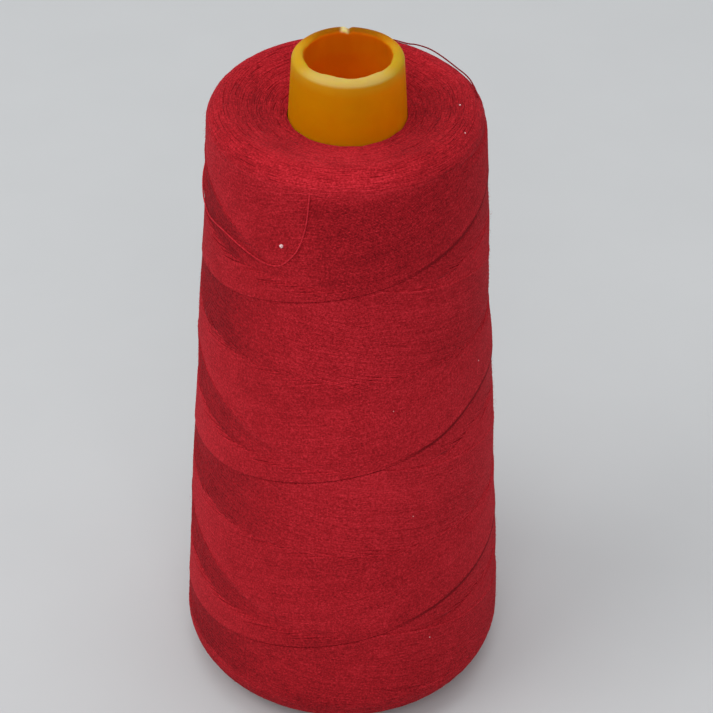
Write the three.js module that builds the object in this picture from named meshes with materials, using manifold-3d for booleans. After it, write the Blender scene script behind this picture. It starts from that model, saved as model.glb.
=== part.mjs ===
// A cone of sewing thread: a moulded plastic cone tube, the cross-wound thread on it,
// and two slack stretches of the same thread. Millimetres, +Z up, standing on z = 0.
// The axis of the tube is the Z axis, and angles run anticlockwise from the front, -Y.

import * as THREE from "three";
import { mergeVertices } from "three/addons/utils/BufferGeometryUtils.js";
import Module from "manifold-3d";

const wasm = await Module();
wasm.setup();

// Cone tube
const tubeHeight = 165;
const taperDegrees = 3.5;
const noseRadius = 11.6;
const noseBoreRadius = 8.9;
const noseLipDepth = 5.5;
const lipOuterRound = 1.5;
const lipInnerRound = 0.9;
const boreRun = 12;
const tubeWall = 2.0;
const footWall = 2.9;
const footBeadHeight = 4.0;
const footRound = 0.6;
const nickWidth = 0.9;
const nickDepth = 0.5;

// Wound thread
const bareNose = 14.4;
const bareFoot = 2.5;
const windingThickness = 16.7;
const windingOffset = 0.42;
const boreClearance = 0.12;
const shoulderRise = 4.4;
const shoulderRound = 4.5;
const footEdgeRound = 9.3;
const windLead = 47.4;
const turnRelief = 0.12;
const raisedBand = 0.36;
const raisedShare = 0.24;
const raisedFade = 0.14;
const raisedFacing = 60;
const risingEdgeHeight = 77.5;
const fallingEdgeHeight = 82.77;
const reliefFade = 6;
const slumpDepth = 1.1;
const slumpAngle = 131;
const slumpHalfSpread = 34;

// Soft and hard places of the winding: [degrees, height, half widths of both, amount].
const unevenPlaces = [
  [-90, 126, 75, 24, -0.6],
  [-91, 133, 22, 5, 0.5],
  [-90, 81, 60, 20, -0.34],
  [-90, 56, 60, 12, 0.15],
  [-90, 27, 60, 14, -0.2],
  [90, 127, 75, 14, 0.42],
  [90, 102, 60, 9, -0.46],
  [90, 75, 60, 20, 0.36],
  [90, 50, 60, 11, -0.33],
  [90, 34, 60, 8, 0.3],
  [90, 9, 60, 10, -0.2],
];

// Slack thread
const threadDiameter = 0.32;
const threadStep = 0.8;
const threadSides = 8;

// Facets
const tubeSides = 60;
const windingColumns = 30;
const roundSteps = 4;

const taper = Math.tan(THREE.MathUtils.degToRad(taperDegrees));
const tubeRadiusAt = (height) => noseRadius + (tubeHeight - height) * taper;
const shoulderInnerHeight = tubeHeight - bareNose;
const shoulderOuterHeight = shoulderInnerHeight + shoulderRise;
const windingRadiusAt = (height) => tubeRadiusAt(height) + windingThickness;
const fraction = (value) => value - Math.floor(value);

// Points of an arc that rounds the corner between two straight stretches.
function roundedCorner(before, corner, after, radius, steps) {
  const toBefore = before.clone().sub(corner).normalize();
  const toAfter = after.clone().sub(corner).normalize();
  const halfAngle = Math.acos(toBefore.dot(toAfter)) / 2;
  const bisector = toBefore.clone().add(toAfter).normalize();
  const centre = corner.clone().addScaledVector(bisector, radius / Math.sin(halfAngle));
  const run = radius / Math.tan(halfAngle);
  const first = corner.clone().addScaledVector(toBefore, run).sub(centre);
  const last = corner.clone().addScaledVector(toAfter, run).sub(centre);
  const turn = Math.atan2(first.cross(last), first.dot(last));
  const points = [];
  for (let step = 0; step <= steps; step += 1) {
    const spoke = first.clone().rotateAround(new THREE.Vector2(), (turn * step) / steps);
    points.push(centre.clone().add(spoke));
  }
  return points;
}

function solidOf(geometry) {
  const bare = geometry.clone();
  bare.deleteAttribute("normal");
  bare.deleteAttribute("uv");
  const merged = mergeVertices(bare, 1e-4);
  return new wasm.Manifold(
    new wasm.Mesh({
      numProp: 3,
      vertProperties: new Float32Array(merged.attributes.position.array),
      triVerts: new Uint32Array(merged.index.array),
    }),
  );
}

function geometryOf(solid) {
  const mesh = solid.getMesh();
  const geometry = new THREE.BufferGeometry();
  geometry.setAttribute("position", new THREE.BufferAttribute(mesh.vertProperties, 3));
  geometry.setIndex(new THREE.BufferAttribute(mesh.triVerts, 1));
  geometry.computeVertexNormals();
  return geometry;
}

// A closed profile of (radius, height) points, turned about the Z axis.
function turned(profile) {
  const closed = [...profile, profile[0]];
  return new THREE.LatheGeometry(closed, tubeSides).rotateX(Math.PI / 2);
}

// The tube's tapered wall with its rounded nose lip and the bead inside its foot.
function tubeProfile() {
  const outerFoot = new THREE.Vector2(tubeRadiusAt(0), 0);
  const innerFoot = new THREE.Vector2(tubeRadiusAt(0) - footWall, 0);
  const beadTop = new THREE.Vector2(tubeRadiusAt(footBeadHeight) - footWall, footBeadHeight);
  const beadRun = (footWall - tubeWall) * 2;
  const wallFoot = new THREE.Vector2(
    tubeRadiusAt(footBeadHeight + beadRun) - tubeWall,
    footBeadHeight + beadRun,
  );
  const lipFoot = tubeHeight - noseLipDepth;
  const boreFoot = lipFoot - boreRun;
  const wallHead = new THREE.Vector2(tubeRadiusAt(boreFoot) - tubeWall, boreFoot);
  const lipBottom = new THREE.Vector2(noseBoreRadius, lipFoot);
  const innerNose = new THREE.Vector2(noseBoreRadius, tubeHeight);
  const outerNose = new THREE.Vector2(noseRadius, tubeHeight);
  return [
    ...roundedCorner(innerFoot, outerFoot, outerNose, footRound, 2),
    ...roundedCorner(outerFoot, outerNose, innerNose, lipOuterRound, roundSteps),
    ...roundedCorner(outerNose, innerNose, lipBottom, lipInnerRound, roundSteps - 1),
    lipBottom,
    wallHead,
    wallFoot,
    beadTop,
    innerFoot,
  ];
}

// The V-shaped nick across the lip, at the rear.
function threadNick() {
  const vee = new THREE.Shape();
  vee.moveTo(-nickWidth, nickDepth);
  vee.lineTo(0, -nickDepth);
  vee.lineTo(nickWidth, nickDepth);
  vee.closePath();
  const across = new THREE.ExtrudeGeometry(vee, { depth: noseRadius, bevelEnabled: false });
  return across.rotateX(Math.PI / 2).translate(0, noseRadius * 1.5, tubeHeight);
}

function coneTube() {
  return geometryOf(solidOf(turned(tubeProfile())).subtract(solidOf(threadNick())));
}

// How far the surface stands above or below its mean: each lay is highest along its newest
// turn, the last rising turns stand prouder still, and both lie lower towards the oldest.
function layHeight(angle, height) {
  const climb = (windLead * angle) / (2 * Math.PI);
  const smallest = 1e-6;
  const risingAge = fraction((height - risingEdgeHeight - climb) / windLead + smallest);
  const fallingAge = fraction((fallingEdgeHeight - climb - height) / windLead + smallest);
  const fall = turnRelief * (0.5 - Math.min(risingAge, fallingAge));
  if (risingAge > fallingAge) {
    return fall;
  }
  const age = THREE.MathUtils.smoothstep(risingAge, raisedShare, raisedShare + raisedFade);
  const facing = 0.7 + 0.3 * Math.cos(angle - THREE.MathUtils.degToRad(raisedFacing));
  return fall + raisedBand * (1 - age) * facing;
}

// How far the surface stands off its mean at the soft and hard places, which follow the lay.
function unevenness(angle, height) {
  const hump = (away, half) => {
    const share = THREE.MathUtils.clamp(away / half, -1, 1);
    return Math.cos((share * Math.PI) / 2) ** 2;
  };
  return unevenPlaces.reduce((total, [degrees, middle, halfDegrees, halfHeight, amount]) => {
    const turn = THREE.MathUtils.radToDeg(angle) - degrees;
    const away = turn - 360 * Math.round(turn / 360);
    const above = height - middle - (windLead * away) / 360;
    return total + amount * hump(away, halfDegrees) * hump(above, halfHeight);
  }, 0);
}

// How far the shoulder has sunk where a turn has slipped off it.
function slumpAt(angle) {
  const away = THREE.MathUtils.radToDeg(angle) - slumpAngle;
  const share = Math.min(Math.abs(away) / slumpHalfSpread, 1);
  return slumpDepth * Math.cos((share * Math.PI) / 2) ** 2;
}

// Rows of the winding's surface from its underside to its shoulder. The side's rows are
// spaced so that both lays' edges run from corner to corner of the grid.
function windingRows() {
  const footCorner = new THREE.Vector2(windingRadiusAt(bareFoot), bareFoot);
  const shoulderCorner = new THREE.Vector2(windingRadiusAt(shoulderOuterHeight), shoulderOuterHeight);
  const footInner = new THREE.Vector2(0, bareFoot);
  const shoulderInner = new THREE.Vector2(tubeRadiusAt(shoulderInnerHeight), shoulderInnerHeight);
  const footArc = roundedCorner(footInner, footCorner, shoulderCorner, footEdgeRound, roundSteps + 1);
  const shoulderArc = roundedCorner(footCorner, shoulderCorner, shoulderInner, shoulderRound, roundSteps);
  const rowStep = windLead / windingColumns;
  const sideFoot = footArc.at(-1).y + rowStep / 3;
  const sideHead = shoulderArc[0].y - rowStep / 3;
  const rows = footArc.map((point) => ({ point, sink: 0 }));
  const firstRow = Math.ceil((sideFoot - risingEdgeHeight) / rowStep);
  const lastRow = Math.floor((sideHead - risingEdgeHeight) / rowStep);
  for (let row = firstRow; row <= lastRow; row += 1) {
    const height = risingEdgeHeight + row * rowStep;
    rows.push({ point: new THREE.Vector2(windingRadiusAt(height), height), sink: 0 });
  }
  shoulderArc.forEach((point, index) => rows.push({ point, sink: index / roundSteps }));
  rows.push({ point: shoulderInner, sink: 0 });
  return rows;
}

// The closed outside of the winding, still without the tube's bore. The package was wound
// a little off the tube's axis, to the left.
function windingOutside() {
  const rows = windingRows();
  const lowest = footEdgeRound + bareFoot;
  const highest = shoulderOuterHeight - shoulderRound;
  const positions = [0, 0, bareFoot];
  rows.forEach(({ point, sink }) => {
    for (let column = 0; column < windingColumns; column += 1) {
      const angle = (2 * Math.PI * column) / windingColumns;
      const nearness = Math.min(point.y - lowest, highest - point.y) / reliefFade;
      const strength = THREE.MathUtils.clamp(nearness, 0, 1);
      const proud = strength * layHeight(angle, point.y) + unevenness(angle, point.y);
      const radius = point.x + proud;
      const height = point.y - sink * slumpAt(angle);
      positions.push(radius * Math.sin(angle) - windingOffset, -radius * Math.cos(angle), height);
    }
  });
  positions.push(0, 0, shoulderInnerHeight);
  const top = positions.length / 3 - 1;
  const corner = (row, column) => 1 + row * windingColumns + (column % windingColumns);
  const triangles = [];
  for (let column = 0; column < windingColumns; column += 1) {
    triangles.push(0, corner(0, column + 1), corner(0, column));
    triangles.push(top, corner(rows.length - 1, column), corner(rows.length - 1, column + 1));
  }
  const farFromAxis = (index) => Math.hypot(positions[index * 3], positions[index * 3 + 1]);
  for (let row = 0; row + 1 < rows.length; row += 1) {
    for (let column = 0; column < windingColumns; column += 1) {
      const low = corner(row, column);
      const lowNext = corner(row, column + 1);
      const high = corner(row + 1, column);
      const highNext = corner(row + 1, column + 1);
      const risingStep = Math.abs(farFromAxis(low) - farFromAxis(highNext));
      const fallingStep = Math.abs(farFromAxis(high) - farFromAxis(lowNext));
      if (risingStep < fallingStep) {
        triangles.push(low, lowNext, highNext, low, highNext, high);
      } else {
        triangles.push(low, lowNext, high, lowNext, highNext, high);
      }
    }
  }
  const geometry = new THREE.BufferGeometry();
  geometry.setAttribute("position", new THREE.BufferAttribute(new Float32Array(positions), 3));
  geometry.setIndex(triangles);
  return geometry;
}

function boreCutter() {
  const beyond = 1;
  const top = shoulderInnerHeight + shoulderRise + beyond;
  const bottom = bareFoot - beyond;
  return turned([
    new THREE.Vector2(0, bottom),
    new THREE.Vector2(tubeRadiusAt(bottom) + boreClearance, bottom),
    new THREE.Vector2(tubeRadiusAt(top) + boreClearance, top),
    new THREE.Vector2(0, top),
  ]);
}

function woundThread() {
  return geometryOf(solidOf(windingOutside()).subtract(solidOf(boreCutter())));
}

// A slack stretch of thread through points of [degrees from the front, radius, height].
function slackThread(route) {
  const points = route.map(([degrees, radius, height]) => {
    const angle = THREE.MathUtils.degToRad(degrees);
    const aside = radius * Math.sin(angle) - windingOffset;
    return new THREE.Vector3(aside, -radius * Math.cos(angle), height);
  });
  const path = new THREE.CatmullRomCurve3(points, false, "centripetal");
  const section = new THREE.Shape();
  for (let side = 0; side < threadSides; side += 1) {
    const angle = (2 * Math.PI * side) / threadSides;
    const x = (threadDiameter / 2) * Math.cos(angle);
    const y = (threadDiameter / 2) * Math.sin(angle);
    if (side === 0) {
      section.moveTo(x, y);
    } else {
      section.lineTo(x, y);
    }
  }
  section.closePath();
  const steps = Math.min(Math.round(path.getLength() / threadStep), 80);
  return new THREE.ExtrudeGeometry(section, { steps, bevelEnabled: false, extrudePath: path });
}

// The U-shaped stretch at the upper left of the front, from the left side to the shoulder.
const frontRoute = [
  [-128, 29.96, 143],
  [-118, 30.02, 141.5],
  [-108, 30.05, 139.3],
  [-100, 30.08, 136.8],
  [-93, 30.52, 133.8],
  [-86, 30.45, 131.6],
  [-79, 30.25, 130.7],
  [-72.7, 30.2, 130.6],
  [-65, 30.2, 131.4],
  [-57, 30.27, 132],
  [-51, 30.35, 131.9],
  [-45, 30.45, 131.5],
  [-37.2, 30.6, 130.8],
  [-30.5, 30.67, 130.5],
  [-26, 30.68, 131.1],
  [-22, 30.8, 133.2],
  [-18.6, 30.62, 135.9],
  [-16.4, 30.2, 139.3],
  [-15, 29.92, 143],
  [-14.3, 29.68, 147],
  [-14, 29.4, 150],
  [-13.8, 28.4, 152.6],
  [-13.8, 26.8, 154.1],
];

// The arc that stands off the sunken stretch of the shoulder, at the rear right.
const rearRoute = [
  [178, 24.6, 154.2],
  [171, 25.2, 154.2],
  [164, 25.8, 154.0],
  [157, 26.4, 153.6],
  [150.5, 27.0, 153.2],
  [146.9, 27.1, 153.5],
  [142, 27.1, 153.75],
  [137.2, 27.1, 153.8],
  [131.4, 27.2, 153.5],
  [125.4, 27.3, 153.2],
  [120, 27.4, 153.1],
  [114, 27.6, 153.2],
  [108, 27.6, 153.4],
  [101, 27.6, 153.4],
  [94, 27.6, 153.4],
];

const plastic = (color) => new THREE.MeshStandardMaterial({ color, roughness: 0.45, metalness: 0 });
const thread = (color) => new THREE.MeshStandardMaterial({ color, roughness: 0.85, metalness: 0 });

function part(name, geometry, material) {
  const mesh = new THREE.Mesh(geometry, material);
  mesh.name = name;
  return mesh;
}

const coneOfThread = new THREE.Group();
coneOfThread.add(part("cone_tube", coneTube(), plastic(0xd98a10)));
coneOfThread.add(part("wound_thread", woundThread(), thread(0xa31a26)));
coneOfThread.add(part("front_slack_thread", slackThread(frontRoute), thread(0xb02430)));
coneOfThread.add(part("rear_loose_thread", slackThread(rearRoute), thread(0x8a1420)));

export default coneOfThread;
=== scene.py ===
import math

import bmesh
import bpy
import numpy as np
from bpy.props import FloatProperty, FloatVectorProperty, IntProperty, PointerProperty
from bpy.types import Operator, Panel, PropertyGroup
from mathutils import Matrix, Vector
from mathutils.geometry import interpolate_bezier


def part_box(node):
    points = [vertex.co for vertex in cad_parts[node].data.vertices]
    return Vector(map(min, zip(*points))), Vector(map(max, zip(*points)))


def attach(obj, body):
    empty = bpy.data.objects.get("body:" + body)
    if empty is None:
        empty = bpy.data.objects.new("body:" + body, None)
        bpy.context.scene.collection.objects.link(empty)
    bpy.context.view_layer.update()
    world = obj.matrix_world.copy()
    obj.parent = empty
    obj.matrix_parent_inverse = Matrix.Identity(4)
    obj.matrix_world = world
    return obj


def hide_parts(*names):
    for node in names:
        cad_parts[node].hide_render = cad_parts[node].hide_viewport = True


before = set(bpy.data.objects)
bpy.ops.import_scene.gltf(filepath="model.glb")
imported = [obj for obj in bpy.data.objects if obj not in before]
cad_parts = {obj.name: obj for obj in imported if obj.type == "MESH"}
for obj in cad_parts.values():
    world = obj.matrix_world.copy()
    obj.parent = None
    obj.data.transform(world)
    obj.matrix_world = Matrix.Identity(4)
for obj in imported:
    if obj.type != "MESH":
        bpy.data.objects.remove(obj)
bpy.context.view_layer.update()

bl_info = {
    "name": "Cone of Sewing Thread",
    "version": (1, 0, 0),
    "blender": (4, 5, 0),
    "location": "View3D > Sidebar > Thread Cone",
    "description": "Models a cross-wound cone of sewing thread on its moulded tube",
    "category": "Add Mesh",
}

# All lengths are metres, angles run anticlockwise from the front (-Y), seen from above.
MM = 0.001
TURN = 2 * math.pi
TUBE_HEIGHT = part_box("cone_tube")[1][2]

ROUND_STEPS = 16        # steps across each rounded edge of the package
ROD_GAP = 1 * MM        # between straight rods, before they are bent in place
ROD_SIDES = 6           # of a wound thread
OVERRUN = 9 * MM        # how far a thread of a lay runs past the straight side
PLIES = 2               # twisted together in the thread


# -------- settings


def length_property(name, description, millimetres):
    return FloatProperty(
        name=name, description=description, default=millimetres * MM, unit="LENGTH", precision=5
    )


def angle_property(name, description, degrees):
    return FloatProperty(
        name=name, description=description, default=math.radians(degrees), subtype="ANGLE"
    )


def colour_property(name, description, default):
    return FloatVectorProperty(
        name=name, description=description, default=default, subtype="COLOR", min=0, max=1
    )


class TubeSettings(PropertyGroup):
    """Sizes and colours of the moulded cone tube"""

    height: length_property("Height", "Height of the tube", TUBE_HEIGHT / MM)
    taper: angle_property("Taper", "Angle between the wall and the axis", 3.5)
    nose_radius: length_property("Nose radius", "Outside radius at the nose", 11.6)
    bore_radius: length_property("Bore radius", "Inside radius of the nose lip", 9.1)
    lip_depth: length_property("Lip depth", "Height of the thick nose lip", 5.5)
    lip_outer_round: length_property("Outer lip round", "Rounding outside the lip", 1.5)
    lip_inner_round: length_property("Inner lip round", "Rounding inside the lip", 0.9)
    wall: length_property("Wall", "Thickness of the tube's wall", 2.0)
    foot_wall: length_property("Foot wall", "Thickness of the wall at the foot", 2.9)
    foot_bead: length_property("Foot bead", "Height of the bead inside the foot", 4.0)
    nick_width: length_property("Nick width", "Half width of the nick in the rim", 0.9)
    nick_depth: length_property("Nick depth", "Depth of the nick in the rim", 0.5)
    bore_run: length_property("Bore run", "Height over which the bore widens", 12)
    plastic: colour_property("Plastic", "Colour of the outer wall", (0.62, 0.23, 0.0))
    lip: colour_property("Lip", "Colour of the worn lip", (0.56, 0.325, 0.014))
    paler: colour_property("Paler", "Colour of the lip's scuffed front", (0.58, 0.42, 0.11))
    rear_rim: colour_property("Rear rim", "Colour of the rim at the rear", (0.26, 0.09, 0.0))
    chip: colour_property("Chip", "Colour where the rim is chipped", (0.70, 0.58, 0.26))
    # painted light: the bore's colour is set lighter and redder than the wall's, for the light that
    # shines through the plastic and bounces inside it
    bore: colour_property("Bore", "Colour of the inner wall", (0.78, 0.185, 0.001))


class WindingSettings(PropertyGroup):
    """Shape of the wound package and of its lays"""

    bare_foot: length_property("Bare foot", "Tube left bare at the foot", 2.5)
    bare_nose: length_property("Bare nose", "Tube left bare at the nose", 14.4)
    thickness: length_property("Thickness", "Thickness of thread on the tube", 16.7)
    offset: length_property("Offset", "How far left of the axis the package sits", 0.42)
    shoulder_rise: length_property("Shoulder rise", "Rise of the shoulder outwards", 4.4)
    shoulder_round: length_property("Shoulder round", "Rounding of the shoulder", 4.5)
    foot_round: length_property("Foot round", "Rounding of the lower edge", 9.3)
    lead: length_property("Lead", "Rise of a lay in one turn", 47.4)
    relief: length_property("Relief", "Height of a new turn over the oldest", 0.12)
    raised: length_property("Raised", "Extra height of the last rising turns", 0.36)
    rising_edge: length_property("Rising edge", "Front height of the rising lay's edge", 78.65)
    falling_edge: length_property("Falling edge", "Front height of the falling lay's edge", 81.5)
    strokes: IntProperty(name="Strokes", description="Threads of a lay side by side", default=144)
    steps: IntProperty(name="Steps", description="Steps in a turn of thread", default=60)
    slump: length_property("Slump", "Depth of the sunken stretch of shoulder", 1.1)
    slump_angle: angle_property("Slump angle", "Middle of the slump", 131)
    slump_spread: angle_property("Slump spread", "Half the width of the slump", 34)


class ThreadSettings(PropertyGroup):
    """The thread itself"""

    diameter: length_property("Diameter", "Thickness of the wound thread", 0.36)
    slack_diameter: length_property("Slack diameter", "Thickness of the slack thread", 0.32)
    ply_pitch: length_property("Ply pitch", "Length of one turn of the plies", 1.1)
    fibres: IntProperty(name="Fibres", description="Loose fibre ends on the winding", default=7000)
    dark: colour_property("Dark", "Colour in the darkest turns", (0.20, 0.004, 0.008))
    middle: colour_property("Middle", "Colour of the thread", (0.42, 0.0115, 0.019))
    light: colour_property("Light", "Colour in the lightest turns", (0.66, 0.028, 0.044))


class StageSettings(PropertyGroup):
    """Camera, floor and light"""

    camera_distance: length_property("Distance", "Level distance from camera to axis", 417.64)
    camera_height: length_property("Height", "Height of the camera", 419.97)
    aim_height: length_property("Aim height", "Height of the aim on the axis", 85.5)
    aim_aside: length_property("Aim aside", "How far right of the axis it aims", 2.38)
    roll: angle_property("Roll", "Lean of the camera", 0.611)
    lens: FloatProperty(name="Lens", description="Focal length in mm", default=119.7)
    floor: colour_property("Floor", "Colour of the floor", (0.595, 0.61, 0.622))
    floor_size: length_property("Floor size", "Width of the floor", 6000)


# -------- soft steps and places


def smoothstep(value):
    """Goes from 0 to 1 as the value does, and stays there beyond."""
    value = np.clip(value, 0, 1)
    return value * value * (3 - 2 * value)


def between(value, start, rise, end, fall):
    """Goes up to 1 over the rise after the start, and down to 0 over the fall before the end."""
    return smoothstep((value - start) / rise) * smoothstep((end - value) / fall)


def bell(value, middle, width):
    """1 in the middle, fading to both sides."""
    return np.exp(-(((value - middle) / width) ** 2))


def half_turn(angle):
    """The same angle, at most half a turn from the front."""
    return np.mod(angle + math.pi, TURN) - math.pi


def lengths_along(points):
    """How far along a path each of its points lies."""
    steps = np.linalg.norm(np.diff(points, axis=0), axis=1)
    return np.concatenate([[0], np.cumsum(steps)])


def tube_radius(tube, height):
    """Outside radius of the tube at a height."""
    return tube.nose_radius + (tube.height - height) * math.tan(tube.taper)


def rounded(points, rounds, steps=ROUND_STEPS):
    """The outline through the points, each corner rounded by its own radius."""
    outline = [Vector(points[0])]
    for before, corner, after, radius in zip(points, points[1:], points[2:], rounds):
        corner = Vector(corner)
        to_before = (Vector(before) - corner).normalized()
        to_after = (Vector(after) - corner).normalized()
        half = to_before.angle(to_after) / 2
        centre = corner + (to_before + to_after).normalized() * radius / math.sin(half)
        run = radius / math.tan(half)
        first = corner + to_before * run - centre
        last = corner + to_after * run - centre
        turn = first.angle_signed(last)
        for step in range(steps + 1):
            outline.append(centre + Matrix.Rotation(-turn * step / steps, 2) @ first)
    outline.append(Vector(points[-1]))
    return outline


# Places on the package, as [degrees, reach in mm, half widths in degrees and in mm, amount].
# The first table's amounts are how far soft and hard places stand out, in mm.
UNEVEN_PLACES = [
    [-90, 126, 75, 24, -0.60], [-91, 133, 22, 5, 0.50], [-90, 81, 60, 20, -0.34],
    [-90, 56, 60, 12, 0.15], [-90, 27, 60, 14, -0.20], [90, 127, 75, 14, 0.42],
    [90, 102, 60, 9, -0.46], [90, 75, 60, 20, 0.36], [90, 50, 60, 11, -0.33],
    [90, 34, 60, 8, 0.30], [90, 9, 60, 10, -0.20],
]
# These are amounts of tone for painted light and shade: places painted lighter or darker where the
# light falls more or less on them.
LIGHT_AND_SHADE_PLACES = [
    [0, 151.2, 38, 5, 0.15], [-35, 151, 42, 5, 0.04], [0, 164, 34, 9, 0.15],
    [0, 164, 400, 12, -0.09], [-5, 30, 40, 9, -0.17], [-70, 128, 30, 18, -0.16],
    [-38, 161, 22, 9, -0.11], [35, 157, 20, 8, -0.11], [85, 162, 45, 12, -0.05],
    [-85, 162, 50, 14, -0.10], [75, 160, 60, 14, -0.12], [10, 85, 100, 45, 0.08],
    [75, 60, 45, 55, 0.13], [0, 10, 120, 24, -0.20],
]
# These are how much higher than in an even lay the threads run there, in mm.
SHIFTED_PLACES = [
    [-88, 66.6, 45, 300, 2.3], [28, 129.3, 60, 20, -0.8], [62, 86.4, 28, 16, 1.7],
    [30, 35, 60, 16, 0.35], [-50, 25, 140, 40, -0.6],
]


class Winding:
    """Places things on the wound package by angle, reach along its outline, and lift off it."""

    bridge = 0.12 * MM      # rise of the falling lay along its newest edge
    dip = 3.0 * MM          # run in which crossing turns dip under it
    nearby = 0.4 * MM       # how far to both sides the slope of the surface is read
    seat = 6.0 * MM         # run from the tube in which the package leaves the axis
    band_age = 0.24         # age at which the raised band starts to sink
    band_fade = 0.14        # more age in which it sinks
    band_side = math.radians(60)    # where round the package it stands highest
    crease = 0.5 * MM       # depth of the crease along the band's foot
    end_run = 2.0 * MM      # run in which a lay passes into the end turns
    end_sink = 0.5 * MM     # how deep its threads go down under them
    buried = 0.13           # share of a lay by which a thread out of sight is the older

    def __init__(self, scene):
        tube, wound = scene.cone_tube, scene.cone_winding
        self.wound = wound
        foot_radius = tube_radius(tube, wound.bare_foot)
        head = tube.height - wound.bare_nose
        high = head + wound.shoulder_rise
        outline = rounded(
            [
                (foot_radius, wound.bare_foot),
                (foot_radius + wound.thickness, wound.bare_foot),
                (tube_radius(tube, high) + wound.thickness, high),
                (tube_radius(tube, head), head),
            ],
            [wound.foot_round, wound.shoulder_round],
        )
        self.points = np.array([tuple(point) for point in outline])
        # a reach is counted so that it equals the height at the rising lay's edge
        reach = lengths_along(self.points)
        middle = np.interp(wound.rising_edge, self.points[:, 1], reach)
        self.reach = reach - middle + wound.rising_edge
        # both ends of the outline, of the lower rounded edge and of the upper one
        head_end = 2 + ROUND_STEPS
        self.lowest, self.highest = self.reach[0], self.reach[-1]
        self.foot_edge, self.side_foot = self.reach[1], self.reach[1 + ROUND_STEPS]
        self.side_head = self.reach[head_end]
        self.shoulder_edge = self.reach[head_end + ROUND_STEPS]

    def point(self, reach):
        """Radius and height at a reach."""
        return [np.interp(reach, self.reach, column) for column in self.points.T]

    def outline(self, reach):
        """Radius and height at a reach, and how far the surface faces outwards and up there."""
        radius, height = self.point(reach)
        ahead, back = self.point(reach + self.nearby), self.point(reach - self.nearby)
        along_r, along_z = np.subtract(ahead, back)
        size = np.hypot(along_r, along_z) + 1e-12
        return radius, height, along_z / size, -along_r / size

    def slump(self, angle, reach):
        """How deep the shoulder has sunk at its rear right."""
        away = np.abs(half_turn(angle - self.wound.slump_angle))
        share = np.minimum(away / self.wound.slump_spread, 1)
        shoulder = [self.side_head, self.shoulder_edge, self.highest]
        weight = np.interp(reach, shoulder, [0, 1, 0])
        return self.wound.slump * weight * np.cos(share * math.pi / 2) ** 2

    def place(self, angle, reach, lift):
        """Where a point of the package lies."""
        radius, height, normal_r, normal_z = self.outline(reach)
        lift = lift + self.humps(UNEVEN_PLACES, angle, reach) * MM
        radius = radius + normal_r * lift
        height = height + normal_z * lift - self.slump(angle, reach)
        from_tube = np.minimum(reach - self.lowest, self.highest - reach) / self.seat
        aside = radius * np.sin(angle) - self.wound.offset * np.clip(from_tube, 0, 1)
        return np.stack([aside, -radius * np.cos(angle), height], axis=1)

    def ages(self, angle, reach):
        """How long ago each lay's newest turn passed here, from 0 to 1."""
        climb = self.wound.lead * angle / TURN
        rising = np.mod((reach - self.wound.rising_edge - climb) / self.wound.lead + 1e-6, 1)
        falling = np.mod((self.wound.falling_edge - climb - reach) / self.wound.lead + 1e-6, 1)
        return rising, falling

    def height_of(self, rising, age, angle):
        """How far a turn of this age lies above the mean surface."""
        height = self.wound.relief * (0.5 - age)
        if rising:
            band = 1 - smoothstep((age - self.band_age) / self.band_fade)
            facing = 0.7 + 0.3 * np.cos(angle - self.band_side)
            return height + self.wound.raised * band * facing
        # the newest falling turns bridge the older ones that they cross
        return height + self.bridge * (1 - smoothstep(age * self.wound.lead / self.dip))

    def humps(self, table, angle, reach, slope=1):
        """The sum of a table's places, which follow the rising lay, or lie level with no slope."""
        total = 0
        for degrees, middle, half_angle, half_reach, amount in table:
            away = half_turn(angle - math.radians(degrees))
            across = np.clip(away / math.radians(half_angle), -1, 1)
            above = reach - middle * MM - slope * self.wound.lead * away / TURN
            along = np.clip(above / (half_reach * MM), -1, 1)
            fade = np.cos(across * math.pi / 2) ** 2 * np.cos(along * math.pi / 2) ** 2
            total = total + amount * fade
        return total

    def shade(self, angle, reach):
        """Painted light and shade: lighter and darker places of the package, as an amount of tone.
        """
        degrees = np.degrees(half_turn(angle))
        # painted shade: the threads below the shoulder are darker, from the slack stretch to the
        # right
        top_edge = 151.3 - 2.6 * bell(degrees, 0, 30)
        level = between(reach / MM, 122, 12, top_edge, 2)
        shaded_right_of_slack = between(degrees, -16.5, 3, 120, 90)
        return self.humps(LIGHT_AND_SHADE_PLACES, angle, reach, 0) - 0.12 * shaded_right_of_slack * level


# -------- mesh helpers


def sheet_of_rods(sides, steps, count, radius, taper=1.0):
    """A flat sheet of straight rods side by side: along X by whole steps, across Y by ROD_GAP."""
    sheet = bmesh.new()
    bmesh.ops.create_circle(sheet, segments=sides, radius=radius)
    upright = Matrix.Rotation(math.pi / 2, 3, "Y")
    bmesh.ops.rotate(sheet, verts=sheet.verts[:], cent=(0, 0, 0), matrix=upright)
    along = (1, 0, 0)
    bmesh.ops.spin(
        sheet, geom=sheet.edges[:], cent=(0, 0, 0), axis=along, dvec=along, angle=0, steps=steps
    )
    ends = [edge for edge in sheet.edges if edge.is_boundary]
    bmesh.ops.holes_fill(sheet, edges=ends, sides=sides)
    bmesh.ops.recalc_face_normals(sheet, faces=sheet.faces[:])
    for vert in sheet.verts:
        share = 1 - (1 - taper) * vert.co.x / steps
        vert.co.y *= share
        vert.co.z *= share
    # each pass copies the rods that are there, until there are enough
    sizes = [len(sheet.verts), len(sheet.edges), len(sheet.faces)]
    rods = 1
    while rods < count:
        more = min(rods, count - rods)
        parts = (sheet.verts, sheet.edges, sheet.faces)
        copied = [item for part, size in zip(parts, sizes) for item in part[: more * size]]
        made = bmesh.ops.duplicate(sheet, geom=copied)["geom"]
        verts = [item for item in made if isinstance(item, bmesh.types.BMVert)]
        bmesh.ops.translate(sheet, verts=verts, vec=(0, rods * ROD_GAP, 0))
        rods += more
    return sheet


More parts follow.
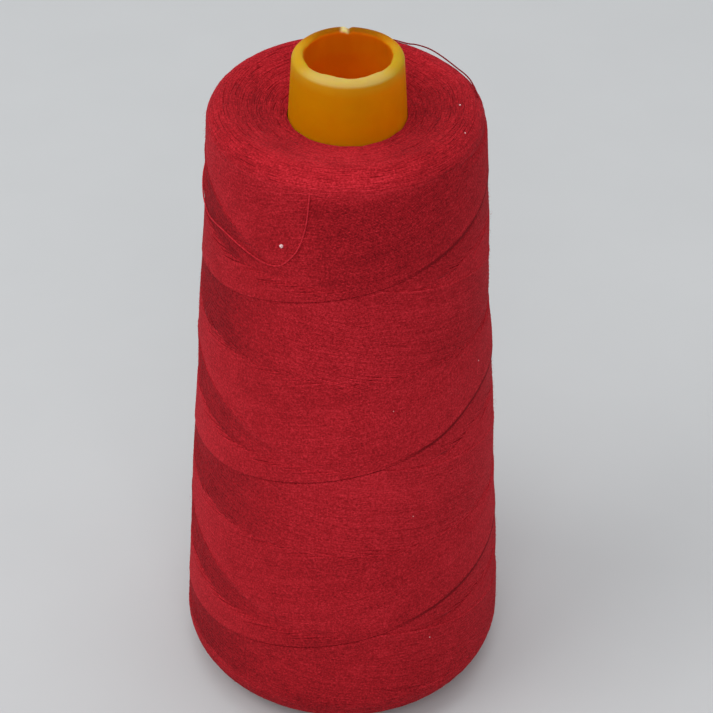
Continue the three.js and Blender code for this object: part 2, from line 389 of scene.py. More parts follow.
def read_sheet(sheet):
    """Each corner's step along its rod, its rod's number, and its offset in the rod's section."""
    corners = np.array([tuple(vert.co) for vert in sheet.verts])
    step = np.round(corners[:, 0]).astype(int)
    rod = np.round(corners[:, 1] / ROD_GAP).astype(int)
    return step, rod, corners[:, 1] - rod * ROD_GAP, corners[:, 2]


def drop_hidden(sheet, hidden):
    """Deletes the hidden corners and closes the cut ends of the rods."""
    gone = [vert for vert, flag in zip(sheet.verts, hidden) if flag]
    bmesh.ops.delete(sheet, geom=gone, context="VERTS")
    ends = [edge for edge in sheet.edges if edge.is_boundary]
    bmesh.ops.holes_fill(sheet, edges=ends, sides=2 * ROD_SIDES)


def turned_body(section, steps, cuts=0):
    """A closed section of (radius, height) turned round the axis, and its corners' places."""
    body = bmesh.new()
    ring = [body.verts.new((radius, 0, height)) for radius, height in section]
    for start, end in zip(ring, ring[1:] + ring[:1]):
        body.edges.new((start, end))
    if cuts:
        longest = 20 * MM
        long_edges = [edge for edge in body.edges if edge.calc_length() > longest]
        bmesh.ops.subdivide_edges(body, edges=long_edges, cuts=cuts)
    bmesh.ops.spin(
        body,
        geom=body.edges[:],
        cent=(0, 0, 0),
        axis=(0, 0, 1),
        angle=TURN,
        steps=steps,
        use_merge=True,
    )
    bmesh.ops.remove_doubles(body, verts=body.verts[:], dist=1e-6)
    bmesh.ops.recalc_face_normals(body, faces=body.faces[:])
    return body, np.array([tuple(vert.co) for vert in body.verts])


def polar(corners):
    """Each corner's angle and distance from the axis."""
    return np.arctan2(corners[:, 0], -corners[:, 1]), np.hypot(corners[:, 0], corners[:, 1])


def finish_piece(name, sheet, material, slot, places=None, **attributes):
    """Makes the piece's object, moves its corners to their places and rides it on the body."""
    mesh = bpy.data.meshes.new(name)
    sheet.to_mesh(mesh)
    sheet.free()
    if places is not None:
        mesh.vertices.foreach_set("co", np.asarray(places, np.float32).ravel())
    for title, values in attributes.items():
        kind, field = ("FLOAT_VECTOR", "vector") if values.ndim == 2 else ("FLOAT", "value")
        layer = mesh.attributes.new(title, kind, "POINT")
        layer.data.foreach_set(field, np.asarray(values, np.float32).ravel())
    mesh.polygons.foreach_set("use_smooth", np.ones(len(mesh.polygons), bool))
    mesh.materials.append(material)
    mesh.update()
    piece = bpy.data.objects.new(name, mesh)
    bpy.context.scene.collection.objects.link(piece)
    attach(piece, "root")
    return piece


def thread_piece(name, sheet, places, tone, ply, scene):
    """Makes a piece of the red thread."""
    material = thread_material(scene)
    return finish_piece(name, sheet, material, "red_thread", places, tone=tone, ply=ply)


def ply_values(across, up, radius, along):
    """What the thread's material reads: the place round the section, and along the thread in mm."""
    return np.stack([across / radius, up / radius, along / MM], axis=1)


# -------- materials


class Finish:
    """A material in the making: its nodes, and the shader that they lead to."""

    def __init__(self, name):
        self.material = bpy.data.materials.new(name)
        self.material.use_nodes = True
        self.nodes = self.material.node_tree.nodes
        self.links = self.material.node_tree.links
        self.shader = self.nodes["Principled BSDF"]

    def node(self, kind, **values):
        made = self.nodes.new(kind)
        for title, value in values.items():
            setattr(made, title, value)
        return made

    def fill(self, made, sockets):
        """Gives each of a node's sockets its value, or the output that feeds it."""
        for title, value in sockets.items():
            if isinstance(value, bpy.types.NodeSocket):
                self.links.new(value, made.inputs[title])
            else:
                made.inputs[title].default_value = value
        return made

    def attribute(self, name, output):
        return self.node("ShaderNodeAttribute", attribute_name=name).outputs[output]

    def noise(self, scale, detail=3.0, roughness=0.5):
        """Noise that stays in its place on the piece."""
        place = self.node("ShaderNodeTexCoord").outputs["Object"]
        sockets = {"Vector": place, "Scale": scale, "Detail": detail, "Roughness": roughness}
        return self.fill(self.node("ShaderNodeTexNoise"), sockets).outputs["Fac"]

    def maths(self, operation, *values):
        made = self.node("ShaderNodeMath", operation=operation)
        return self.fill(made, dict(enumerate(values))).outputs[0]

    def ramp(self, factor, *stops):
        """The colours between the stops, given as (position, colour)."""
        made = self.fill(self.node("ShaderNodeValToRGB"), {"Fac": factor})
        elements = made.color_ramp.elements
        while len(elements) < len(stops):
            elements.new(0.5)
        for element, (position, colour) in zip(elements, stops):
            element.position = position
            element.color = (*colour, 1)
        return made.outputs["Color"]

    def multiplied(self, first, second):
        """One colour times the other."""
        made = self.node("ShaderNodeMix", data_type="RGBA", blend_type="MULTIPLY")
        sockets = {item.name: item for item in made.inputs if item.enabled}
        sockets["Factor"].default_value = 1
        self.links.new(first, sockets["A"])
        self.links.new(second, sockets["B"])
        return next(item for item in made.outputs if item.enabled)

    def bump(self, height, strength, distance):
        sockets = {"Height": height, "Strength": strength, "Distance": distance}
        made = self.fill(self.node("ShaderNodeBump"), sockets)
        self.links.new(made.outputs["Normal"], self.shader.inputs["Normal"])

    def surface(self, colour, roughness, sockets):
        self.fill(self.shader, {"Base Color": colour, "Roughness": roughness, **sockets})


# Unevenness of the thread's tone, as noise of [scale, detail, roughness, amount of tone].
THREAD_NOISE = [
    [260, 4, 0.6, 0.35],
    [45, 2, 0.5, 0.30],
    [2200, 2, 0.6, 1.7],
]


def thread_material(scene):
    """Red spun polyester: tone by turn with painted light and shade, mottling, twisted plies, and a
    soft sheen.
    """
    made = bpy.data.materials.get("red spun thread")
    if made:
        return made
    settings = scene.cone_thread
    finish = Finish("red spun thread")
    tone = finish.attribute("tone", "Fac")
    for scale, detail, roughness, amount in THREAD_NOISE:
        noise = finish.noise(scale, detail, roughness)
        tone = finish.maths("ADD", tone, finish.maths("MULTIPLY_ADD", noise, amount, -amount / 2))
    sheen = {"Sheen Weight": 0.06, "Sheen Roughness": 0.4, "Sheen Tint": (1.0, 0.35, 0.45, 1)}
    finish.surface(
        finish.ramp(tone, (0.0, settings.dark), (0.5, settings.middle), (1.0, settings.light)),
        0.75,
        {"Specular IOR Level": 0.08, **sheen},
    )
    # the plies wind round the thread, and hairs roughen them
    parts = finish.node("ShaderNodeSeparateXYZ")
    across, up, along = finish.fill(parts, {0: finish.attribute("ply", "Vector")}).outputs
    lobes = finish.maths("MULTIPLY", finish.maths("ARCTAN2", up, across), PLIES)
    twist = finish.maths("MULTIPLY", along, PLIES * TURN * MM / settings.ply_pitch)
    wave = finish.maths("SINE", finish.maths("ADD", lobes, twist))
    hairs = finish.maths("MULTIPLY", finish.noise(5200, 2), 1.6)
    finish.bump(finish.maths("ADD", wave, hairs), 0.6, 0.03 * MM)
    return finish.material


def shaded_under_material(scene):
    """The older turns under the outer lays, seen only in the gaps between them, painted darker than
    the thread as the shade in those gaps.
    """
    middle = np.array(scene.cone_thread.middle)
    finish = Finish("older turns")
    colour = finish.ramp(finish.noise(900), (0.3, 0.42 * middle), (0.7, 0.62 * middle))
    finish.surface(colour, 0.9, {"Specular IOR Level": 0.05})
    return finish.material


def tube_material():
    """Yellow moulded plastic, a little translucent, in the colours painted on its corners."""
    finish = Finish("yellow tube plastic")
    cloud = finish.ramp(finish.noise(140, 4, 0.6), (0.3, (0.92, 0.92, 0.92)), (0.7, (1, 1, 1)))
    finish.surface(
        finish.multiplied(finish.attribute("paint", "Color"), cloud),
        finish.maths("MULTIPLY_ADD", finish.noise(700), 0.25, 0.36),
        {
            "Specular IOR Level": 0.03,
            "Subsurface Weight": 0.7,
            "Subsurface Radius": (1.0, 0.35, 0.03),
            "Subsurface Scale": 5 * MM,
        },
    )
    finish.bump(finish.noise(1500), 0.35, 0.1 * MM)
    return finish.material


def lint_material():
    """Pale pills of stray fibre."""
    finish = Finish("pale lint")
    colour = finish.ramp(finish.noise(2600), (0.3, (0.62, 0.30, 0.32)), (0.7, (0.92, 0.74, 0.74)))
    finish.surface(colour, 0.95, {"Sheen Weight": 0.4})
    return finish.material


def floor_material(scene):
    """Matt pale board."""
    base = np.array(scene.cone_stage.floor)
    finish = Finish("pale floor")
    colour = finish.ramp(finish.noise(30), (0.35, 0.985 * base), (0.65, base))
    finish.surface(colour, 0.9, {"Specular IOR Level": 0.1})
    return finish.material


# -------- operators


class CONE_OT_camera(Operator):
    """Set the camera at the photograph's viewing angle"""

    bl_idname = "cone.camera"
    bl_label = "Camera"

    def execute(self, context):
        stage = context.scene.cone_stage
        data = bpy.data.cameras.new("camera")
        data.lens = stage.lens
        data.sensor_width = 36.0
        data.clip_start = 0.01
        camera = bpy.data.objects.new("camera", data)
        context.scene.collection.objects.link(camera)
        camera.location = (0, -stage.camera_distance, stage.camera_height)
        aim = Vector((stage.aim_aside, 0, stage.aim_height)) - camera.location
        turn = aim.to_track_quat("-Z", "Y").to_matrix()
        lean = Matrix.Rotation(stage.roll, 3, "Z")
        camera.rotation_euler = (turn @ lean).to_euler()
        context.scene.camera = camera
        return {"FINISHED"}


# Slack stretches, as [degrees from the front, radius in mm, height in mm].
FRONT_ROUTE = [
    [-128, 29.79, 143], [-118, 29.85, 141.5], [-108, 29.88, 139.3], [-100, 29.91, 136.8],
    [-93, 30.35, 133.8], [-86, 30.28, 131.6], [-79, 30.08, 130.7], [-72.7, 30.03, 130.6],
    [-65, 30.03, 131.4], [-57, 30.10, 132], [-51, 30.18, 131.9], [-45, 30.28, 131.5],
    [-37.2, 30.43, 130.8], [-30.5, 30.50, 130.5], [-26, 30.51, 131.1], [-22, 30.63, 133.2],
    [-18.6, 30.45, 135.9], [-16.4, 30.03, 139.3], [-15, 29.75, 143], [-14.3, 29.50, 147],
    [-14, 29.02, 150], [-13.8, 27.90, 151.9], [-13.8, 26.80, 152.9],
]
REAR_ROUTE = [
    [178, 24.6, 154.2], [171, 25.2, 154.2], [164, 25.8, 154.0], [157, 26.4, 153.6],
    [150.5, 27.0, 153.2], [146.9, 27.1, 153.5], [142, 27.1, 153.75], [137.2, 27.1, 153.8],
    [131.4, 27.2, 153.5], [125.4, 27.3, 153.2], [120, 27.4, 153.1], [114, 27.6, 153.2],
    [108, 27.6, 153.4], [101, 27.6, 153.4], [94, 27.6, 153.4],
]
# Tone of the slack stretches, with painted light on the front one where it stands proud and painted
# shade on the backlit rear arc, and how finely their paths are divided.
FRONT_LIT_TONE = 0.78
REAR_SHADED_TONE = -0.5
PATH_SPACING = 0.25 * MM


def spread_evenly(points, spacing):
    """A smooth path through the points, with its own points evenly spaced."""
    padded = [2 * points[0] - points[1], *points, 2 * points[-1] - points[-2]]
    fine = []
    for before, start, end, after in zip(padded, padded[1:], padded[2:], padded[3:]):
        # the curve runs at its ends as the line between their neighbours does
        leaving, arriving = start + (end - before) / 6, end - (after - start) / 6
        fine += interpolate_bezier(start, leaving, arriving, end, 13)[:-1]
    fine = np.array([tuple(point) for point in [*fine, points[-1]]])
    reach = lengths_along(fine)
    places = np.linspace(0, reach[-1], int(reach[-1] / spacing) + 1)
    return np.stack([np.interp(places, reach, column) for column in fine.T], axis=1)


def slack_piece(name, cad_node, route, tone, scene):
    """A slack stretch: two twisted plies along the route."""
    settings = scene.cone_thread
    points = []
    for degrees, radius, height in route:
        angle = math.radians(degrees)
        place = Vector((radius * math.sin(angle), -radius * math.cos(angle), height)) * MM
        points.append(place - Vector((scene.cone_winding.offset, 0, 0)))
    path = spread_evenly(points, PATH_SPACING)
    steps = len(path) - 1
    radius = settings.slack_diameter / 2
    rod = sheet_of_rods(10, steps, 1, radius)
    step, _, across, up = read_sheet(rod)
    ahead = path[np.minimum(step + 1, steps)] - path[np.maximum(step - 1, 0)]
    ahead /= np.linalg.norm(ahead, axis=1, keepdims=True)
    # the rod's section stands between the way ahead and the way out from the package
    outward = path[step] * np.array([1, 1, 0.35])
    side = np.cross(outward, ahead)
    side /= np.linalg.norm(side, axis=1, keepdims=True)
    normal = np.cross(ahead, side)
    along = step * np.linalg.norm(path[1] - path[0])
    round_section = np.arctan2(up, across)
    lobe = 0.84 + 0.16 * np.abs(np.cos(round_section + along * TURN / settings.ply_pitch))
    places = path[step] + (side * across[:, None] + normal * up[:, None]) * lobe[:, None]
    ply = ply_values(across, up, radius, along)
    piece = thread_piece(name, rod, places, np.full(len(step), tone), ply, scene)
    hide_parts(cad_node)


class CONE_OT_slack_threads(Operator):
    """Make the slack stretch at the front and the loose arc at the rear"""

    bl_idname = "cone.slack_threads"
    bl_label = "Slack threads"

    def execute(self, context):
        scene = context.scene
        slack_piece("front_slack", "front_slack_thread", FRONT_ROUTE, FRONT_LIT_TONE, scene)
        slack_piece("rear_loose_arc", "rear_loose_thread", REAR_ROUTE, REAR_SHADED_TONE, scene)
        return {"FINISHED"}


def tube_outline(settings):
    """The closed section of the tube's wall: up from under the foot, and back down inside."""
    wall, foot_wall, bead = settings.wall, settings.foot_wall, settings.foot_bead
    foot_radius = tube_radius(settings, 0)
    bead_top = bead + 2 * (foot_wall - wall)
    lip_foot = settings.height - settings.lip_depth
    bore_foot = lip_foot - settings.bore_run
    under = (foot_radius - foot_wall / 2, 0, 0)
    corners = [     # as (radius, height, rounding)
        under,
        (foot_radius, 0, 0.6 * MM),
        (settings.nose_radius, settings.height, settings.lip_outer_round),
        (settings.bore_radius, settings.height, settings.lip_inner_round),
        (settings.bore_radius, lip_foot, 9 * MM),
        (tube_radius(settings, bore_foot) - wall, bore_foot, 9 * MM),
        (tube_radius(settings, bead_top) - wall, bead_top, 2 * MM),
        (tube_radius(settings, bead) - foot_wall, bead, 0.8 * MM),
        (foot_radius - foot_wall, 0, 0.3 * MM),
        under,
    ]
    points = [corner[:2] for corner in corners]
    return rounded(points, [corner[2] for corner in corners[1:-1]], 7)[:-1]


class CONE_OT_tube(Operator):
    """Turn the moulded cone tube, with its worn lip and the nick in its rim"""

    bl_idname = "cone.tube"
    bl_label = "Cone tube"

    def execute(self, context):
        settings = context.scene.cone_tube
        body, corners = turned_body(tube_outline(settings), steps=180, cuts=75)
        angle, radius = polar(corners)
        degrees = np.degrees(angle)
        depth = settings.height - corners[:, 2]
        outer = tube_radius(settings, corners[:, 2])
        # the rim's inner edge is ragged where flash was left on it
        rim = 1.6 * MM
        top = smoothstep(1 - depth / rim)
        flash = bell(degrees, -24, 14) + 0.7 * bell(degrees, 33, 14)
        flash += 0.5 * bell(np.abs(degrees), 120, 14)
        ragged = np.sin(7 * angle + 1) + 0.8 * np.sin(17 * angle) + 0.6 * np.sin(31 * angle + 2)
        nearness = smoothstep(1 - (radius - settings.bore_radius) / (1.3 * MM))
        radius = radius + (0.07 * ragged - 0.5 * flash) * MM * top * nearness
        corners[:, 2] -= 0.05 * MM * np.sin(5 * angle) * top
        # the nick at the rear of the rim
        rear = corners[:, 1] > 0
        notch = rear * np.clip(1 - np.abs(corners[:, 0]) / settings.nick_width, 0, 1)
        corners[:, 2] -= notch * settings.nick_depth * smoothstep(1 - depth / (3 * MM))
        corners[:, 0] = radius * np.sin(angle)
        corners[:, 1] = -radius * np.cos(angle)
        # the lip is yellow, paler at the front, brown at the rear, chipped at the nick
        front = 0.5 + 0.5 * np.cos(angle)
        inside = smoothstep((outer - radius - 1.5 * MM) / (0.5 * MM))
        inner_edge = smoothstep((radius - settings.bore_radius) / (0.4 * MM))
        crown = inner_edge * smoothstep(2.4 - depth / (0.55 * MM))
        chipped = rear * top * smoothstep(1.4 - np.abs(corners[:, 0] + 0.8 * MM) / (0.8 * MM))
        # painted light and shade: the light that passes through the plastic is painted into the
        # colours, warming the wall's right side and lightening the bore deeper down and on its
        # left, and the lip is painted a little darker on the right
        right = smoothstep(np.sin(angle))[:, None]
        left = smoothstep(-np.sin(angle))[:, None]
        deep = smoothstep(depth / (16 * MM))[:, None]
        lip = np.array(settings.lip) * (1 - [0.14, 0.06, 0.1] * right)
        bore = np.array(settings.bore) * (0.74 + 0.62 * deep) * (1 + 0.17 * left)
        paint = np.array(settings.plastic) * (1 + right * [0.22, -0.02, 0])
        layers = [
            (smoothstep(1.4 - depth / rim) * smoothstep(1.9 * front), lip),
            (crown * smoothstep((front - 0.7) / 0.25), settings.paler),
            (top * smoothstep(1 - 2.5 * front), settings.rear_rim),
            (inside * smoothstep((depth - 0.15 * MM) / (0.5 * MM)), bore),
            (chipped * smoothstep(1.5 - depth / (0.5 * MM)), settings.chip),
        ]
        for weight, colour in layers:
            paint += weight[:, None] * (np.array(colour) - paint)
        piece = finish_piece(
            "tube_shell", body, tube_material(), "tube_plastic", corners, paint=paint
        )
        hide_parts("cone_tube")
        return {"FINISHED"}


class CONE_OT_inner_winding(Operator):
    """Turn the closed body of older turns that the outer lays lie on"""

    bl_idname = "cone.inner_winding"
    bl_label = "Inner winding"

    sunk: length_property("Sunk", "Depth of this body under the surface", 0.32)
    end_sunk: length_property("End sunk", "The same under the end turns", 0.2)
    play: length_property("Play", "Gap between this body and the tube", 0.1)

    def execute(self, context):
        scene = context.scene
        surface = Winding(scene)
        reach = np.linspace(surface.lowest, surface.highest, 260)
        radius, height, normal_r, normal_z = surface.outline(reach)
        radius = radius - self.sunk * normal_r
        height = height - self.sunk * normal_z
        bore = [(tube_radius(scene.cone_tube, end) + self.play, end) for end in height[[-1, 0]]]
        section = np.array([*zip(radius[1:-1], height[1:-1]), *bore])
        body, corners = turned_body(section, steps=144)
        angle, away = polar(corners)
        # each corner was turned from the one of the section that it is nearest to
        gaps = np.abs(away[:, None] - section[:, 0]) + np.abs(corners[:, 2:] - section[:, 1])
        nearest = np.argmin(gaps, axis=1)
        outside = nearest < len(section) - len(bore)
        at = reach[1:-1][np.minimum(nearest, len(reach) - 3)]
        at_end = (at > surface.side_head) | (at < surface.side_foot)
        moved = surface.place(angle, at, -np.where(at_end, self.end_sunk, self.sunk))
        corners = np.where(outside[:, None], moved, corners)
        piece = finish_piece("inner_winding", body, shaded_under_material(scene), "red_thread", corners)
        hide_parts("wound_thread")
        return {"FINISHED"}


def wind_lay(surface, sheet, rising, strokes, seed, scene):
    """Where a lay's rods come to lie, which corners stay hidden, and their tone and plies."""
    wound, diameter = surface.wound, scene.cone_thread.diameter
    step, rod, across, up = read_sheet(sheet)
    draw = np.random.default_rng(seed)
    rods = len(strokes)
    stroke = strokes[rod]
    jitter = draw.normal(0, 0.012 * MM, rods)[rod]
    wander = draw.uniform(0, TURN, rods)[rod]
    low_end = surface.side_foot - draw.uniform(-1.0, 9.0, rods)[rod] * MM
    high_end = surface.side_head + draw.uniform(1.5, 7.5, rods)[rod] * MM
    first_edge = wound.rising_edge if rising else wound.falling_edge
    age = stroke / wound.strokes
    sign = 1 if rising else -1
    # a rod starts where its line passes the foot, at its own angle
    line = surface.side_foot - OVERRUN + step * wound.lead / wound.steps
    offset = stroke * wound.lead / wound.strokes * sign
    if not rising:
        # the steps crowd where the rod crosses the rising lay's edge
        first = (wound.rising_edge + wound.falling_edge + offset) / 2 - 0.3 * MM
        cell = (line - first) / (wound.lead / 2)
        whole = np.round(cell)
        crowded = np.interp(cell - whole, [-0.5, -0.2, 0.2, 0.5], [-0.5, -0.05, 0.05, 0.5])
        line = first + (whole + crowded) * wound.lead / 2
    angle = sign * (line - first_edge - offset) / wound.lead * TURN
    # at its ends it turns softly to run round the package
    soft = 0.8 * MM
    eased = high_end - soft * np.logaddexp(0, (high_end - line) / soft)
    eased = low_end + soft * np.logaddexp(0, (eased - low_end) / soft)
    waves = np.sin(2 * angle + 0.11 * stroke) + 0.6 * np.sin(5 * angle + 0.07 * stroke)
    reach = eased + jitter + (0.05 * waves + 0.012 * np.sin(3 * angle + wander)) * MM
    # it lies over the other lay where it is newer, and dips under it where it is older
    rising_age, falling_age = surface.ages(angle, reach)
    other = falling_age if rising else rising_age
    own_lift = surface.height_of(rising, age, angle)
    other_lift = surface.height_of(not rising, other, angle)
    under_lift = np.minimum(own_lift, other_lift - 0.75 * diameter)
    # the oldest rising threads lie under every falling one
    risen = age if rising else other
    behind = age - other + sign * 0.12 * smoothstep((risen - 0.84) / 0.06)
    mixed_order = draw.normal(0, 0.03, rods)[rod]
    covered = smoothstep((behind + mixed_order) / 0.08 + 0.5)
    if rising:
        covered = covered * smoothstep(other * wound.lead / surface.dip)
    lift = own_lift + (under_lift - own_lift) * covered
    # a crease along the foot of the raised band, sunk and painted dark as shade, with a thin line
    # of painted light on the threads beneath it
    degrees = np.degrees(half_turn(angle))
    below = (1 - risen) * wound.lead / MM
    wide = between(degrees, 30, 35, 140, 60)
    crease = bell(below, 0.3 + 0.15 * wide, 0.32 + 0.16 * wide) * between(degrees, -42, 24, 178, 70)
    crease *= 1 - 0.5 * smoothstep((reach / MM - 100) / 10) * smoothstep((42 - degrees) / 8)
    beside = bell(below, 1.0 + 0.4 * wide, 0.25) * bell(degrees, 15, 42)
    lift = lift - surface.crease * crease
    # past the straight side it sinks under the end turns
    end_zone = np.maximum(reach - surface.side_head, surface.side_foot - reach)
    end_zone = np.clip(end_zone / surface.end_run + 1, 0, 1)
    lift = lift * (1 - end_zone) + end_zone * draw.normal(-0.12 * MM, 0.05 * MM, rods)[rod]
    past_end = np.maximum(line - high_end, low_end - line) / (4 * MM)
    lift = lift - surface.end_sink * smoothstep(past_end) - diameter / 2
    shift = surface.humps(SHIFTED_PLACES, angle, reach) * MM * (1 - end_zone)
    places = surface.place(angle, reach + shift + across, lift + up)
    # what lies well under the other lay is left out, apart from near the edges of both
    near_other_edge = other * wound.lead < 1.2 * surface.dip
    near_own_edge = (age * wound.lead < 0.4 * MM) | (age > 0.99)
    hidden = (behind > surface.buried) & ~near_other_edge & ~near_own_edge & (end_zone <= 0)
    hidden |= past_end > 1.2
    # each thread has its own tone, unevenly along it; to it are added the package's painted light
    # and shade, the crease's painted shade and the painted light beside it
    tone = 0.5 + draw.normal(0, 0.025, rods)[rod] + 0.02 * np.sin(angle * 3 + wander)
    tone += draw.normal(0, 0.03, (rods, step.max() + 1))[rod, step]
    tone += surface.shade(angle, reach) - (0.33 + 0.35 * wide) * crease + 0.2 * beside
    # the two lays catch the light differently round the package
    left, front = bell(degrees, -65, 36), bell(degrees, -5, 35)
    if rising:
        # painted shadow: the newest threads are darkened on the right, where the raised band shades
        # them, less so near the shoulder
        shaded_newest = smoothstep(2.2 - age * wound.lead / (0.35 * MM))
        shaded_newest *= between(degrees, 12, 35, 140, 60)
        tone += 0.08 * left - shaded_newest * (1 - 0.45 * smoothstep((reach / MM - 108) / 10))
    else:
        # the falling lay's newest thread is painted lighter, as light along its upturned edge
        tone += 0.12 * front - 0.33 * left + 0.1 * (stroke == 0)
    ply = ply_values(across, up, diameter / 2, np.abs(angle) * surface.point(reach)[0])
    return places, hidden, tone, ply


class CONE_OT_lays(Operator):
    """Wind the two crossing outer lays, thread by thread"""

    bl_idname = "cone.lays"
    bl_label = "Crossing lays"

    def execute(self, context):
        scene = context.scene
        surface = Winding(scene)
        wound = scene.cone_winding
        span = surface.side_head - surface.side_foot + 2 * OVERRUN
        steps = round(span / wound.lead * wound.steps)
        halves = np.array_split(np.arange(wound.strokes), 2)
        for rising, title in ((True, "rising_lay"), (False, "falling_lay")):
            for half, strokes in enumerate(halves):
                radius = scene.cone_thread.diameter / 2
                sheet = sheet_of_rods(ROD_SIDES, steps, len(strokes), radius)
                seed = 10 * half + rising
                places, hidden, tone, ply = wind_lay(surface, sheet, rising, strokes, seed, scene)
                if not rising:
                    bmesh.ops.reverse_faces(sheet, faces=sheet.faces[:])
                drop_hidden(sheet, hidden)
                shown = ~hidden
                name = f"{title}_{half + 1}"
                thread_piece(name, sheet, places[shown], tone[shown], ply[shown], scene)
        return {"FINISHED"}


class CONE_OT_end_turns(Operator):
    """Lay the turned-back threads that make the shoulder and the underside"""

    bl_idname = "cone.end_turns"
    bl_label = "End turns"

    spacing: length_property("Spacing", "Distance between turns", 0.28)
    arcs: IntProperty(name="Arcs", description="Turned-back threads in one turn", default=24)

    def execute(self, context):
        scene = context.scene
        surface = Winding(scene)
        merge = 6 * MM          # how far they reach on to the straight side
        short = 0.1 * MM        # how far off the tube they end
        shoulder = (surface.side_head - merge, surface.highest - short)
        underside = (surface.side_foot + merge, surface.lowest + short)
        self.turns("shoulder_turns", *shoulder, 5, surface, scene)
        self.turns("underside_turns", *underside, 6, surface, scene)
        return {"FINISHED"}

    def turns(self, title, side, tube, seed, surface, scene):
        """Short arcs from the side to the tube: each thread turns back, and its ends dip under."""
        rings = round(abs(tube - side) / self.spacing)
        count = rings * self.arcs
        steps = 5
        radius = scene.cone_thread.diameter / 2
        sheet = sheet_of_rods(ROD_SIDES, steps, count, radius)
        step, rod, across, up = read_sheet(sheet)
        draw = np.random.default_rng(seed)
        share = step / steps
        begin = (np.arange(count) % self.arcs + draw.random(count))[rod]
        sweep = draw.uniform(1.6, 2.3, count)[rod]
        angle = (begin + share * sweep) * TURN / self.arcs
        ends = (2 * share - 1) ** 2
        inwards = (rod // self.arcs + 0.5) / rings
        lean = draw.normal(0, 0.3 * MM, count)[rod] * (share - 0.5)
        bow = draw.uniform(0, 0.25, count)[rod] * MM * ends * math.copysign(1, side - tube)
        reach = side + inwards * (tube - side) + draw.normal(0, 0.06 * MM, count)[rod] + lean + bow
        reach = np.clip(reach, surface.lowest + 0.16 * MM, surface.highest - 0.16 * MM)
        # where they reach on to the side they lie under its lays
        sunk = 1 - smoothstep((np.abs(reach - side) - 3.5 * MM) / (3 * MM))
        lift = draw.normal(0, 0.02 * MM, count)[rod] - 0.18 * MM * ends - 0.3 * MM * sunk
        places = surface.place(angle, reach + across, lift + up - radius)
        # tone at random, with the package's painted light and shade
        tone = 0.5 + draw.normal(0, 0.05, count)[rod] + surface.shade(angle, reach)
        tone += draw.normal(0, 0.04, (count, steps + 1))[rod, step]
        along = share * sweep * TURN / self.arcs * surface.point(reach)[0]
        thread_piece(title, sheet, places, tone, ply_values(across, up, radius, along), scene)


class CONE_OT_loose_fibres(Operator):
    """Scatter the short fibre ends that stand off spun thread"""

    bl_idname = "cone.loose_fibres"
    bl_label = "Loose fibres"

    longest: length_property("Longest", "Length of the longest fibre", 1.9)
    radius: length_property("Radius", "Radius of a fibre at its root", 0.014)

    def execute(self, context):
        scene = context.scene
        surface = Winding(scene)
        count = scene.cone_thread.fibres
        steps = 4
        sheet = sheet_of_rods(3, steps, count, self.radius, taper=0.35)
        step, rod, across, up = read_sheet(sheet)
        draw = np.random.default_rng(21)
        angle = draw.uniform(0, TURN, count)[rod]
        reach = draw.uniform(surface.foot_edge, surface.highest - 1 * MM, count)[rod]
        long = self.longest * (0.25 + 0.75 * draw.random(count) ** 2)[rod]
        heading = draw.uniform(0, TURN, count)[rod]
        stand = draw.uniform(0.1, 0.75, count)[rod]
        curl = draw.normal(0, 1.2, count)[rod]
        share = step / steps
        turn = heading + curl * share
        flat = long * share * (1 - 0.35 * stand)
        lift = long * stand * (share - 0.35 * share**2)
        around = flat * np.cos(turn) + across * np.sin(turn)
        beside = flat * np.sin(turn) - across * np.cos(turn)
        angle = angle + around / surface.point(reach)[0]
        reach = np.clip(reach + beside, surface.lowest, surface.highest)
        places = surface.place(angle, reach, lift + up - 0.05 * MM)
        tone = draw.uniform(0.5, 1.0, count)[rod]
        thread_piece("loose_fibres", sheet, places, tone, ply_values(across, up, 1.0, step), scene)
        return {"FINISHED"}


# Lint pills, as [degrees from the front, reach in mm, half size in mm].
LINT_PILLS = [
    [-25.1, 136.2, 0.36], [64.1, 96.1, 0.15], [18.9, 95.5, 0.09], [26.6, 65.2, 0.09],
    [33.1, 27.4, 0.13], [85.5, 157.4, 0.17], [64.5, 154.2, 0.12],
]


class CONE_OT_lint(Operator):
    """Stick the pale pills of lint on the winding"""

    bl_idname = "cone.lint"
    bl_label = "Lint"

    def execute(self, context):
        surface = Winding(context.scene)
        draw = np.random.default_rng(8)
        pills = bmesh.new()
        for degrees, reach, size in LINT_PILLS:
            angle = np.array([math.radians(degrees)])
            place = surface.place(angle, np.array([reach * MM]), np.array([0.30 * MM]))[0]
            made = bmesh.ops.create_icosphere(pills, subdivisions=3, radius=size * MM)["verts"]
            phase = draw.uniform(0, TURN, 3)
            for vert in made:
                way = vert.co.normalized()
                lump = math.sin(7 * way.x + phase[0]) + math.sin(6 * way.y + phase[1])
                vert.co *= 1 + 0.14 * lump + 0.12 * math.sin(9 * way.z + phase[2])
            bmesh.ops.translate(pills, verts=made, vec=Vector(place))
        finish_piece("lint_pills", pills, lint_material(), "red_thread")
        return {"FINISHED"}


# Soft lamps, as [name, place, width, power, colour], all aimed at the package's middle.
LAMPS = [
    ["key", (-1.07, -0.39, 1.46), 1.2, 9.5, (1.0, 0.99, 0.98)],
    ["front", (0.0, -1.27, 1.35), 1.2, 8.35, (1.0, 1.0, 1.0)],
    ["overhead", (0.0, 0.08, 1.5), 1.1, 5.5, (1.0, 1.0, 1.0)],
]
LAMP_AIM = Vector((0, 0, 0.08))
SKY_COLOUR = (0.98, 0.99, 1.0, 1)
SKY_STRENGTH = 0.46


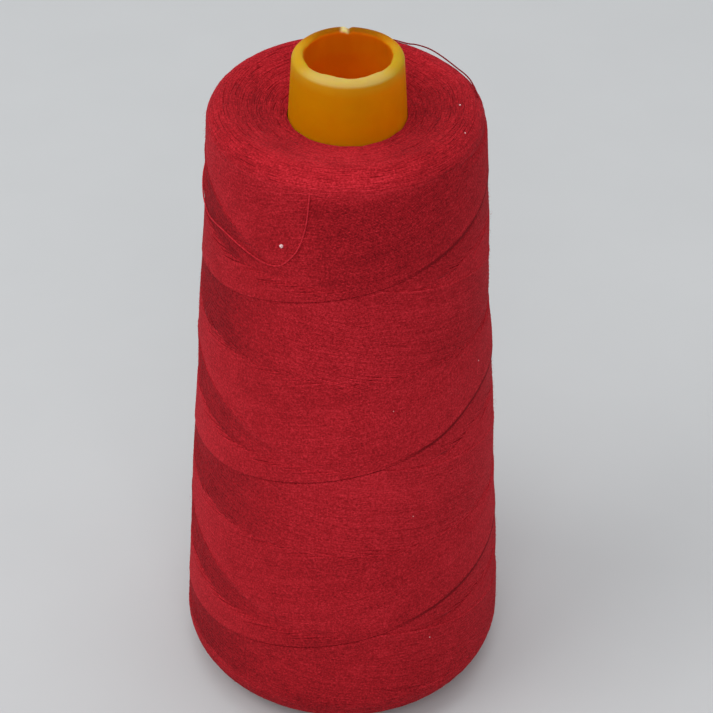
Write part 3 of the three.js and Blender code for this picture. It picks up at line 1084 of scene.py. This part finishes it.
class CONE_OT_stage(Operator):
    """Lay the pale floor and hang the soft studio light"""

    bl_idname = "cone.stage"
    bl_label = "Stage"

    def execute(self, context):
        scene = context.scene
        settings = scene.cone_stage
        board = bmesh.new()
        bmesh.ops.create_grid(board, x_segments=2, y_segments=2, size=settings.floor_size / 2)
        mesh = bpy.data.meshes.new("floor")
        board.to_mesh(mesh)
        board.free()
        mesh.materials.append(floor_material(scene))
        floor = bpy.data.objects.new("floor", mesh)
        scene.collection.objects.link(floor)
        for name, place, size, power, colour in LAMPS:
            data = bpy.data.lights.new(name, "AREA")
            data.shape = "DISK"
            data.size = size
            data.energy = power
            data.color = colour
            lamp = bpy.data.objects.new(name, data)
            lamp.location = place
            aim = LAMP_AIM - Vector(place)
            lamp.rotation_euler = aim.to_track_quat("-Z", "Y").to_euler()
            scene.collection.objects.link(lamp)
        world = bpy.data.worlds.new("studio")
        world.use_nodes = True
        sky = world.node_tree.nodes["Background"]
        sky.inputs["Color"].default_value = SKY_COLOUR
        sky.inputs["Strength"].default_value = SKY_STRENGTH
        scene.world = world
        scene.view_settings.view_transform = "Standard"
        return {"FINISHED"}


class CONE_PT_panel(Panel):
    """Lists the operators and their settings"""

    bl_idname = "CONE_PT_panel"
    bl_label = "Thread Cone"
    bl_space_type = "VIEW_3D"
    bl_region_type = "UI"
    bl_category = "Thread Cone"

    def draw(self, context):
        for maker in MAKERS:
            self.layout.operator(maker.bl_idname)
        for group in SETTINGS:
            box = self.layout.box()
            holder = getattr(context.scene, group)
            for title in holder.__annotations__:
                box.prop(holder, title)


MAKERS = (
    CONE_OT_camera,
    CONE_OT_slack_threads,
    CONE_OT_tube,
    CONE_OT_inner_winding,
    CONE_OT_lays,
    CONE_OT_end_turns,
    CONE_OT_loose_fibres,
    CONE_OT_lint,
    CONE_OT_stage,
)
SETTINGS = {
    "cone_tube": TubeSettings,
    "cone_winding": WindingSettings,
    "cone_thread": ThreadSettings,
    "cone_stage": StageSettings,
}


def register():
    for group in SETTINGS.values():
        bpy.utils.register_class(group)
    for title, group in SETTINGS.items():
        setattr(bpy.types.Scene, title, PointerProperty(type=group))
    for maker in MAKERS:
        bpy.utils.register_class(maker)
    bpy.utils.register_class(CONE_PT_panel)


def unregister():
    bpy.utils.unregister_class(CONE_PT_panel)
    for maker in reversed(MAKERS):
        bpy.utils.unregister_class(maker)
    for title, group in SETTINGS.items():
        delattr(bpy.types.Scene, title)
        bpy.utils.unregister_class(group)


def main():
    register()
    for maker in MAKERS:
        group, name = maker.bl_idname.split(".")
        getattr(getattr(bpy.ops, group), name)()


if __name__ == "__main__":
    main()
